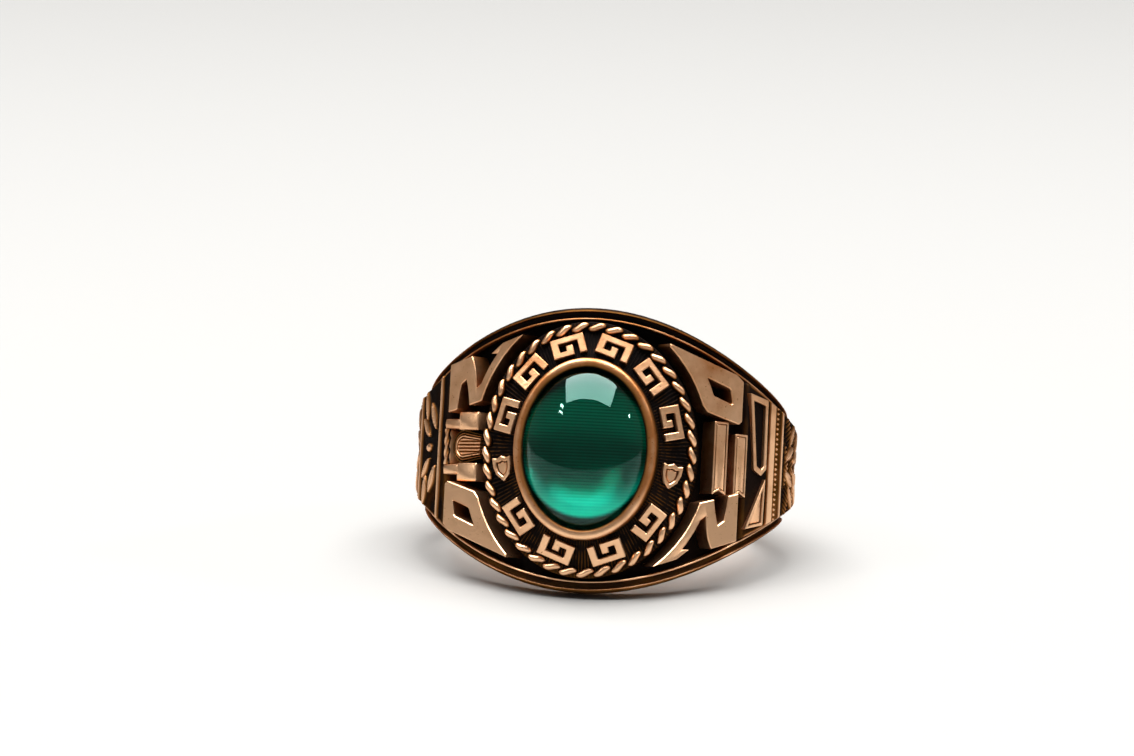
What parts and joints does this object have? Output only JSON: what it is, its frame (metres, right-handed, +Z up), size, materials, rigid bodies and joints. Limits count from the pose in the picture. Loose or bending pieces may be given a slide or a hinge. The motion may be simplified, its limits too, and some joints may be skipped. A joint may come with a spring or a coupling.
{
  "type": "class ring",
  "caption": "Class ring with an oval cabochon in a rope-edged crown, block numerals on the shoulders and relief on the side panels, lying on its side.",
  "frame": {"origin": "on the surface that the ring lies on, under the middle of its bounding box", "axes": "+Z up, -Y the way the stone faces, which leans back 15.1 degrees, +X to the right of the face"},
  "size_m": [0.023, 0.0258, 0.0165],
  "materials": {
    "antiqued_bronze": "cast, polished on the raised faces, dark patina in the recesses",
    "green_cabochon": "polished, lined backing seen through it"
  },
  "bodies": {
    "root": {"ring_casting": "antiqued_bronze", "stone": "green_cabochon"}
  },
  "joints": []
}
